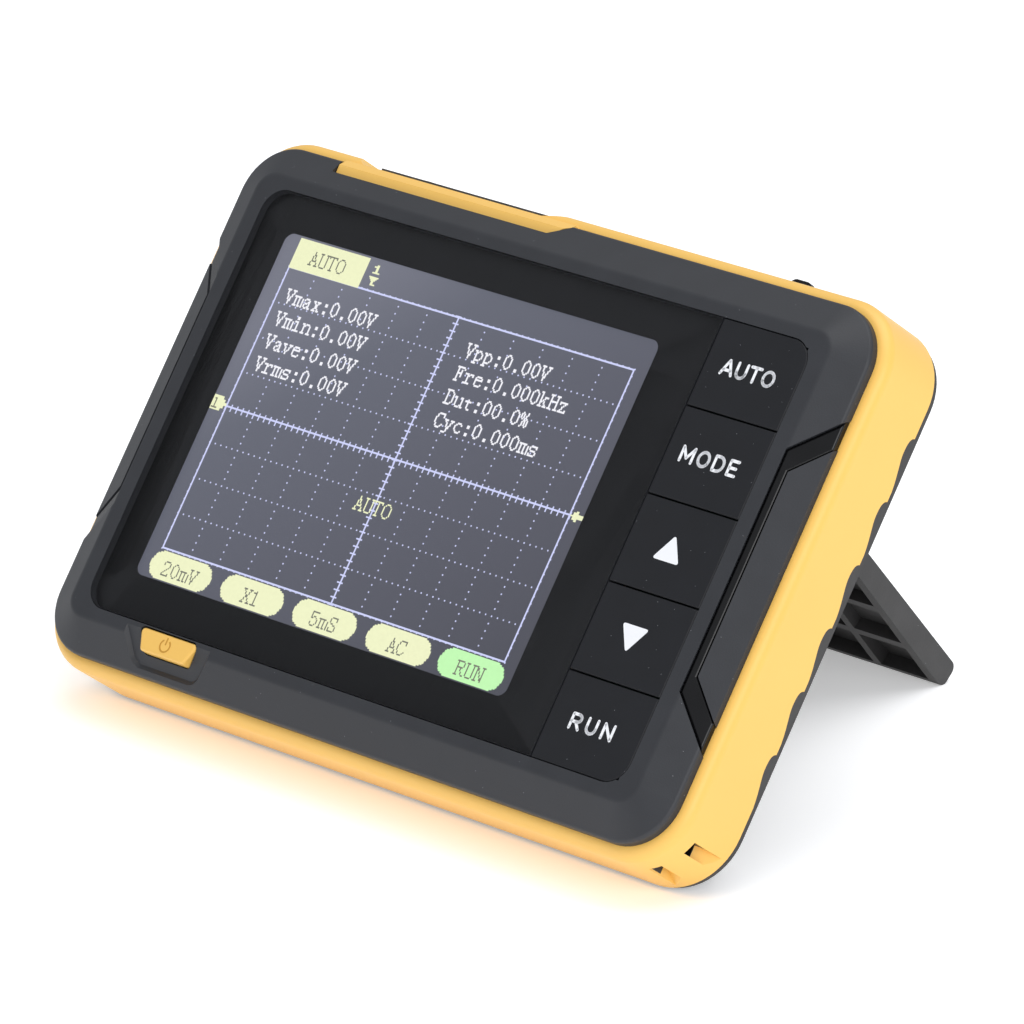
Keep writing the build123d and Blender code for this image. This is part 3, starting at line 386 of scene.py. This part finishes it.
# letters drawn dot by dot, eight dots wide, from the top of a capital downwards; a slash is
# three empty rows
letters = {
    "V": "###..### .#....#. .#....#. .#...#.. ..#..#.. ..#.#... ..#.#... ...##... ...#.... ...#....",
    "m": " / ######.. .#..#..# .#..#..# .#..#..# .#..#..# .#..#..# ###.##.#",
    "a": " / ..###... .#...#.. ....##.. ..##.#.. .#...#.. .#..##.. ..##.##.",
    "x": " / .##.###. ..#..#.. ...##... ...##... ...##... ..#..#.. .###.##.",
    ":": " / ...##... ...##... ........ ........ ........ ...##... ...##...",
    ".": " / ........ ........ ........ ........ ........ ...##... ...##...",
    "0": "...##... ..#..#.. .#....#. .#....#. .#....#. .#....#. .#....#. .#....#. ..#..#.. ...##...",
    "1": "...#.... .###.... ...#.... ...#.... ...#.... ...#.... ...#.... ...#.... ...#.... .#####..",
    "2": "..####.. .#....#. .#....#. ......#. .....#.. ....#... ...#.... ..#..... .#....#. .######.",
    "5": ".######. .#...... .#...... .#.##... .##..#.. ......#. ......#. .#....#. .#...#.. ..###...",
    "i": "..##.... ..##.... ........ .###.... ...#.... ...#.... ...#.... ...#.... ...#.... .#####..",
    "n": " / ##.###.. .##...#. .#....#. .#....#. .#....#. .#....#. ###..###",
    "v": " / ###..### .#....#. ..#..#.. ..#..#.. ..#.#... ...#.... ...#....",
    "e": " / ..####.. .#....#. .######. .#...... .#...... .#....#. ..####..",
    "r": " / ###.###. ..##..#. ..#..... ..#..... ..#..... ..#..... #####...",
    "s": " / ..#####. .#....#. .#...... ..####.. ......#. .#....#. .#####..",
    "p": " / ##.##... .##..#.. .#....#. .#....#. .#....#. .#...#.. .####... .#...... ###.....",
    "u": " / ##...##. .#....#. .#....#. .#....#. .#....#. .#...##. ..###.##",
    "t": " / ...#.... .#####.. ...#.... ...#.... ...#.... ...#.... ....##..",
    "y": " / ###..### .#....#. ..#..#.. ..#..#.. ..#.#... ...##... ...#.... ...#.... ###.....",
    "c": " / ...###.. ..#...#. .#...... .#...... .#...... ..#...#. ...###..",
    "z": " / .######. .#...#.. ....#... ...#.... ...#.... ..#...#. .######.",
    "k": "##...... .#...... .#...... .#..###. .#..#... .#.#.... .##.#... .#..#... .#...#.. ###.###.",
    "F": "######.. .#....#. .#..#... .#..#... .####... .#..#... .#..#... .#...... .#...... ###.....",
    "H": "###..### .#....#. .#....#. .#....#. .######. .#....#. .#....#. .#....#. .#....#. ###..###",
    "D": "#####... .#...#.. .#....#. .#....#. .#....#. .#....#. .#....#. .#....#. .#...#.. #####...",
    "C": "..#####. .#....#. .#....#. #....... #....... #....... #....... .#....#. .#...#.. ..###...",
    "%": ".#...#.. #.#..#.. #.#.#... #.#.#... .#.#.#.. ...##.#. ..#.#.#. ..#.#.#. ..#.#.#. .#...#..",
    "A": "...#.... ...#.... ...##... ..#.#... ..#.#... ..#..#.. ..####.. .#....#. .#....#. ###..###",
    "U": "###..### .#....#. .#....#. .#....#. .#....#. .#....#. .#....#. .#....#. .#....#. ..####..",
    "T": "#######. #..#..#. ...#.... ...#.... ...#.... ...#.... ...#.... ...#.... ...#.... ..###...",
    "O": "..###... .#...#.. #.....#. #.....#. #.....#. #.....#. #.....#. #.....#. .#...#.. ..###...",
    "X": "###..### .#....#. ..#..#.. ..#..#.. ...##... ...##... ..#..#.. ..#..#.. .#....#. ###..###",
    "S": "..#####. .#....#. .#....#. .#...... ..##.... ....##.. ......#. .#....#. .#....#. .#####..",
    "R": "######.. .#....#. .#....#. .#....#. .#####.. .#..#... .#..#... .#...#.. .#...#.. ###...##",
    "N": "##...### .##...#. .##...#. .#.#..#. .#.#..#. .#..#.#. .#..#.#. .#...##. .#...##. ###...#.",
}


letterWide = 8


def words(text, left, top):  # blocks for a line of letters
    blocks = []
    for place, letter in enumerate(text):
        drawn = letters[letter].replace("/", "........ ........ ........").split()
        for row, line in enumerate(drawn):
            start = None
            for column, mark in enumerate(line + "."):
                if mark == "#" and start is None:
                    start = column
                elif mark == "." and start is not None:
                    x = left + place * letterWide
                    blocks.append((x + start, top - row - 1, x + column, top - row))
                    start = None
    return blocks


pillShape = {"half": 27, "low": -120, "high": -101, "middle": -110.5, "round": 10.6, "trim": 14}


def pill(middle):  # stepped lozenge, as a stack of slices
    blocks = []
    for y in range(pillShape["low"], pillShape["high"]):
        rise = abs(y + 0.5 - pillShape["middle"]) / pillShape["round"]
        trim = round(pillShape["trim"] * (1 - math.sqrt(max(0.0, 1 - rise * rise))))
        half = pillShape["half"] - trim
        blocks.append((middle - half, y, middle + half, y + 1))
    return blocks


readings = [("Vmax:0.00V", -142, 86), ("Vmin:0.00V", -142, 70), ("Vave:0.00V", -142, 54),
            ("Vrms:0.00V", -142, 38), ("Vpp:0.00V", 17, 86), ("Fre:0.000kHz", 17, 70),
            ("Dut:00.0%", 17, 54), ("Cyc:0.000ms", 17, 38)]
pillCentres = [-127, -63, 1, 65, 127]
pillWords = ["20mV", "X1", "5mS", "AC", "RUN"]
captions = {"tab": (-136, 114), "state": (-16, -28), "pillTop": -107}
front = display["depth"]
# how far each layer of the picture stands before the panel, and how much its dots are thickened
layers = {"frame": 0.01, "lit": 0.02, "readings": 0.03, "dim": 0.04}
thicker = {"frame": 0.1, "readings": 0.12}
readoutPiece("screen_readings", [b for r in readings for b in words(*r)], lampWhite,
             front - layers["readings"], thicker["readings"])

modeTab = [(-150, 99, -88, 120)]
leftMarker = [(-163, -4, -154, 6), (-154, -2, -152, 4), (-152, 0, -150, 2)]
rightMarker = [(150, 0, 152, 1), (152, -2, 154, 3), (154, -3, 156, 4), (156, -1, 161, 2)]
triggerMark = [(-80, 112, -78, 117), (-82, 115, -80, 116), (-82, 111, -76, 112),
               (-83, 108, -75, 109), (-82, 107, -76, 108), (-81, 106, -77, 107),
               (-80, 103, -78, 106), (-78, 103, -76, 104)]  # the digit 1 over an arrow
yellow = modeTab + words("AUTO", *captions["state"])
yellow += [b for x in pillCentres[:4] for b in pill(x)]
yellow += leftMarker + rightMarker + triggerMark
readoutPiece("screen_yellow", yellow, lampYellow, front - layers["lit"])
readoutPiece("screen_green", pill(pillCentres[4]), lampGreen, front - layers["lit"])

channelDigit = [(-160, -2, -159, 4), (-161, 3, -159, 4), (-162, -3, -157, -2)]
dim = words("AUTO", *captions["tab"]) + channelDigit
for middle, text in zip(pillCentres, pillWords):
    dim += words(text, middle - len(text) * letterWide // 2, captions["pillTop"])
readoutPiece("screen_dim", dim, lampDim, front - layers["dim"])


# rows of marks: dots along the division lines, ticks along the axes
def markTree():
    tree = bpy.data.node_groups.new("markRows", "GeometryNodeTree")
    face = tree.interface
    face.new_socket("Geometry", in_out="INPUT", socket_type="NodeSocketGeometry")
    for name, kind in (("Width", "Float"), ("Height", "Float"), ("Columns", "Int"), ("Rows", "Int"),
                       ("Mark Width", "Float"), ("Mark Height", "Float"), ("Finish", "Material")):
        face.new_socket(name, in_out="INPUT", socket_type="NodeSocket" + kind)
    face.new_socket("Geometry", in_out="OUTPUT", socket_type="NodeSocketGeometry")
    add = tree.nodes.new
    start, end = add("NodeGroupInput"), add("NodeGroupOutput")
    grid, mark = add("GeometryNodeMeshGrid"), add("GeometryNodeMeshGrid")
    place, real = add("GeometryNodeInstanceOnPoints"), add("GeometryNodeRealizeInstances")
    paint = add("GeometryNodeSetMaterial")
    mark.inputs["Vertices X"].default_value = 2
    mark.inputs["Vertices Y"].default_value = 2
    link = tree.links.new
    for socket, name in (("Size X", "Width"), ("Size Y", "Height"), ("Vertices X", "Columns"),
                         ("Vertices Y", "Rows")):
        link(start.outputs[name], grid.inputs[socket])
    link(start.outputs["Mark Width"], mark.inputs["Size X"])
    link(start.outputs["Mark Height"], mark.inputs["Size Y"])
    link(grid.outputs["Mesh"], place.inputs["Points"])
    link(mark.outputs["Mesh"], place.inputs["Instance"])
    link(place.outputs["Instances"], real.inputs["Geometry"])
    link(real.outputs["Geometry"], paint.inputs["Geometry"])
    link(start.outputs["Finish"], paint.inputs["Material"])
    link(paint.outputs["Geometry"], end.inputs["Geometry"])
    return tree


markRows = markTree()


def markMesh(finish, place, **sizes):  # runs the tree and returns a plain mesh in its place
    host = bpy.data.objects.new("marks", bpy.data.meshes.new("marks"))
    bpy.context.scene.collection.objects.link(host)
    made = host.modifiers.new("marks", "NODES")
    made.node_group = markRows
    values = {"Width": 0.0, "Height": 0.0, "Columns": 1, "Rows": 1, "Finish": finish.made}
    values.update(sizes)
    for item in markRows.interface.items_tree:
        if item.in_out == "INPUT" and item.name in values:
            made[item.identifier] = values[item.name]
    bpy.context.view_layer.update()
    seen = host.evaluated_get(bpy.context.evaluated_depsgraph_get())
    mesh = bpy.data.meshes.new_from_object(seen)
    host.modifiers.clear()
    bpy.data.objects.remove(host)
    mesh.transform(place)
    return mesh


def joined(name, meshes):  # several meshes as one
    whole = bmesh.new()
    for mesh in meshes:
        whole.from_mesh(mesh)
    made = bpy.data.meshes.new(name)
    whole.to_mesh(made)
    whole.free()
    return made


dot = display["dot"] * mm
step = display["step"] * dot
wide = display["columns"] * display["cell"] * dot
tall = display["rows"] * display["cell"] * dot
alongX, alongY = round(wide / step) + 1, round(tall / step) + 1
middle = facePlace(display["across"], display["up"], front)
dotsUp = {"Width": wide, "Height": tall, "Columns": display["columns"] + 1, "Rows": alongY,
          "Mark Width": dot, "Mark Height": dot}
dotsAcross = {"Width": wide, "Height": tall, "Columns": alongX, "Rows": display["rows"] + 1,
              "Mark Width": dot, "Mark Height": dot}
tick = display["tick"] * dot
ticksAcross = {"Width": wide, "Columns": alongX, "Mark Width": dot, "Mark Height": tick}
ticksUp = {"Height": tall, "Rows": alongY, "Mark Width": tick, "Mark Height": dot}
gridMesh = joined("screen_grid", [markMesh(lampLavender, middle, **marks)
                                  for marks in (dotsUp, dotsAcross, ticksAcross, ticksUp)])
settle("screen_grid", gridMesh, lampLavender, "case")

# the frame round the grid and its two axes, each line one dot wide
edgeX = display["columns"] * display["cell"] // 2
edgeY = display["rows"] * display["cell"] // 2
lines = [(-edgeX, -edgeY, edgeX, 1 - edgeY), (-edgeX, edgeY - 1, edgeX, edgeY),
         (-edgeX, 1 - edgeY, 1 - edgeX, edgeY - 1), (edgeX - 1, 1 - edgeY, edgeX, edgeY - 1),
         (-edgeX, 0, edgeX, 1), (0, 1 - edgeY, 1, edgeY - 1)]
readoutPiece("screen_frame", lines, lampLavender, front - layers["frame"], thicker["frame"])

# printed labels on the keys
print("labels")
ink = plain("ink", (0.9, 0.91, 0.94), rough=0.5, shade=0.95, perMetre=1500)
labels = {"x": 34.8, "proud": 0.02, "capital": 2.05, "stroke": 0.37, "steps": 8,
          "autoWidth": 7.8, "modeWidth": 8.4, "runWidth": 6.4}
keyCentre = {name: sum(reach("key_" + name, upward)) / 2 for name in keyNames}


def bend(middle, size, start, end):  # points along part of an ellipse, angles in degrees
    steps = labels["steps"]
    turns = [math.radians(start + (end - start) * k / steps) for k in range(steps + 1)]
    return [(middle[0] + size[0] * math.cos(t), middle[1] + size[1] * math.sin(t)) for t in turns]


# centre lines of the capitals in a unit square: a width in mm, then the strokes
capitals = {
    "A": (1.55, [[(0, 0), (0.5, 1), (1, 0)], [(0.17, 0.3), (0.83, 0.3)]]),
    "U": (1.3, [[(0, 1), (0, 0.4)] + bend((0.5, 0.4), (0.5, 0.4), 180, 360) + [(1, 1)]]),
    "T": (1.4, [[(0, 1), (1, 1)], [(0.5, 1), (0.5, 0)]]),
    "O": (1.5, [bend((0.5, 0.5), (0.5, 0.5), 90, 270) + bend((0.5, 0.5), (0.5, 0.5), 270, 450)]),
    "M": (1.65, [[(0, 0), (0, 1), (0.5, 0.25), (1, 1), (1, 0)]]),
    "D": (1.35, [[(0, 0), (0, 1), (0.45, 1)] + bend((0.45, 0.5), (0.55, 0.5), 90, -90) + [(0, 0)]]),
    "E": (1.1, [[(1, 1), (0, 1), (0, 0), (1, 0)], [(0, 0.5), (0.9, 0.5)]]),
    "R": (1.3, [[(0, 0), (0, 1), (0.6, 1)] + bend((0.6, 0.74), (0.4, 0.26), 90, -90) + [(0, 0.48)],
                [(0.5, 0.48), (1, 0)]]),
    "N": (1.35, [[(0, 0), (0, 1), (1, 0), (1, 1)]]),
}


def strokeFaces(points, faces, line, half):  # one quad a segment and a round spot at every point
    for first, last in zip(line, line[1:]):
        run = (last - first).normalized()
        side = Vector((-run.y, run.x)) * half
        start = len(points)
        points += [first - side, last - side, last + side, first + side]
        faces.append(tuple(range(start, start + 4)))
    for middle in line:
        start = len(points)
        points += [middle + Vector(p) for p in bend((0, 0), (half, half), 0, 315)]
        faces.append(tuple(range(start, start + labels["steps"] + 1)))


def keyWord(name, text, width):  # a word in capitals, spread to a width in mm
    half = labels["stroke"] / 2
    tall = labels["capital"] - labels["stroke"]
    drawn = sum(capitals[letter][0] for letter in text) + labels["stroke"] * len(text)
    gap = (width - drawn) / (len(text) - 1)
    left = half - width / 2
    points, faces = [], []
    for letter in text:
        wide, lines = capitals[letter]
        for line in lines:
            placed = [Vector((left + x * wide, (y - 0.5) * tall)) for x, y in line]
            strokeFaces(points, faces, placed, half)
        left += wide + labels["stroke"] + gap
    mesh = bpy.data.meshes.new(name)
    mesh.from_pydata([(p.x * mm, p.y * mm, 0) for p in points], [], faces)
    return mesh


arrowShape = {"tip": 1.72, "foot": -1.45, "half": 1.95, "cut": 0.5, "steps": 6}


def arrow(name, way):  # rounded triangle, pointing up or down the face
    corners = [Vector((0, arrowShape["tip"])), Vector((-arrowShape["half"], arrowShape["foot"])),
               Vector((arrowShape["half"], arrowShape["foot"]))]
    outline = []
    for i, here in enumerate(corners):
        before = (corners[i - 1] - here).normalized() * arrowShape["cut"] + here
        after = (corners[(i + 1) % 3] - here).normalized() * arrowShape["cut"] + here
        for k in range(arrowShape["steps"] + 1):
            t = k / arrowShape["steps"]
            outline.append(before * (1 - t) ** 2 + here * 2 * t * (1 - t) + after * t ** 2)
    if way < 0:
        outline = [Vector((p.x, -p.y)) for p in reversed(outline)]
    mesh = bpy.data.meshes.new(name)
    mesh.from_pydata([(p.x * mm, p.y * mm, 0) for p in outline], [], [range(len(outline))])
    return mesh


labelMeshes = {"auto": keyWord("label_auto", "AUTO", labels["autoWidth"]),
               "mode": keyWord("label_mode", "MODE", labels["modeWidth"]),
               "up": arrow("label_up", 1), "down": arrow("label_down", -1),
               "run": keyWord("label_run", "RUN", labels["runWidth"])}
for name, mesh in labelMeshes.items():
    mesh.transform(facePlace(labels["x"], 0, -labels["proud"]))
    mesh.transform(Matrix.Translation(upward * (keyCentre[name] - centre.dot(upward))))
    settle("label_" + name, mesh, ink, "key_" + name)

# power mark on the yellow button: an open ring and a bar
powerMark = {"x": -27.5, "v": -28.4, "radius": 0.74, "line": 0.2, "opening": 0.6, "turns": 28,
             "barFoot": 0.1, "barAbove": 0.25, "proud": 0.015, "dropFrom": 2}
amberInk = plain("amberInk", (0.62, 0.30, 0.03), rough=0.5, shade=0.85, perMetre=1500)


def onPowerButton(x, v):  # the point of the button's front there, raised a hair
    place = nodes["power_button"].ray_cast(spot(x, v, -powerMark["dropFrom"]), inward)[1]
    return place - inward * powerMark["proud"] * mm


def powerMesh():
    mesh = bpy.data.meshes.new("power_mark")
    r, w, gap = powerMark["radius"], powerMark["line"] / 2, powerMark["opening"]
    foot, top, turns = powerMark["barFoot"], r + powerMark["barAbove"], powerMark["turns"]
    points, faces = [], []
    for k in range(turns + 1):
        angle = math.pi / 2 + gap + (2 * math.pi - 2 * gap) * k / turns
        for radius in (r - w, r + w):
            points.append((radius * math.cos(angle), radius * math.sin(angle)))
        if k:
            base = 2 * k
            faces.append((base - 2, base - 1, base + 1, base))
    start = len(points)
    points += [(-w, foot), (w, foot), (w, top), (-w, top)]
    faces.append((start, start + 1, start + 2, start + 3))
    laid = [onPowerButton(powerMark["x"] + x, powerMark["v"] + y) for x, y in points]
    mesh.from_pydata(laid, [], faces)
    return mesh


settle("power_mark", powerMesh(), amberInk, "power")

# studio
print("studio")
lowest = min(corner[2] for corner in cadBox)
studio = {"floor": 3.0, "sky": 0.58, "skyTone": (0.93, 0.955, 1, 1), "paper": 0.32,
          "paperTone": (0.96, 0.96, 0.965)}
lights = {"keyLight": {"place": (0.6, -0.3, 0.35), "target": (0, 0, 0.03), "size": (0.5, 0.4),
                       "power": 1.85},
          "topLight": {"place": (0.1, 0.15, 0.9), "target": (0, 0, 0), "size": (0.9, 0.9),
                       "power": 4.6}}
floorMesh = bpy.data.meshes.new("floor")
half = studio["floor"] / 2
floorMesh.from_pydata([(-half, -half, lowest), (half, -half, lowest), (half, half, lowest),
                       (-half, half, lowest)], [], [(0, 1, 2, 3)])
floor = bpy.data.objects.new("floor", floorMesh)
bpy.context.scene.collection.objects.link(floor)
paper = plain("paper", studio["paperTone"], rough=0.8, shade=0.99, perMetre=20)
paper.put(emissionColor=(1, 1, 1), emissionStrength=studio["paper"])
floorMesh.materials.append(paper.made)

world = bpy.data.worlds.new("room")
world.use_nodes = True
sky = world.node_tree.nodes["Background"]
sky.inputs["Color"].default_value = studio["skyTone"]
sky.inputs["Strength"].default_value = studio["sky"]
bpy.context.scene.world = world


def softLight(name, place, target, size, power):
    light = bpy.data.lights.new(name, "AREA")
    light.shape = "RECTANGLE"
    light.size, light.size_y = size
    light.energy = power
    lit = bpy.data.objects.new(name, light)
    bpy.context.scene.collection.objects.link(lit)
    lit.location = place
    lit.rotation_euler = (Vector(target) - Vector(place)).to_track_quat("-Z", "Y").to_euler()


for name, values in lights.items():
    softLight(name, **values)

# the camera's place in millimetres and its directions are in the face's terms
view = {"lens": 281.25, "sensor": 36, "farthest": 10, "eye": (583.3, -117.5, -675.5),
        "sideways": (0.732, 0.403, -0.550), "ahead": (-0.641, 0.130, -0.757)}
camera = bpy.data.cameras.new("camera")
camera.lens = view["lens"]
camera.sensor_width = view["sensor"]
camera.clip_end = view["farthest"]
eye = bpy.data.objects.new("camera", camera)
bpy.context.scene.collection.objects.link(eye)


def turned(x, v, n):  # a direction from its shares across, up and towards the user
    return right * x + upward * v - inward * n


sideways = turned(*view["sideways"]).normalized()
ahead = turned(*view["ahead"])
ahead = (ahead - sideways * ahead.dot(sideways)).normalized()
over = sideways.cross(ahead)
eye.matrix_world = Matrix((sideways, over, -ahead)).transposed().to_4x4()
eye.location = spot(*view["eye"])
bpy.context.scene.camera = eye
bpy.context.scene.view_settings.view_transform = "Standard"

print("done")
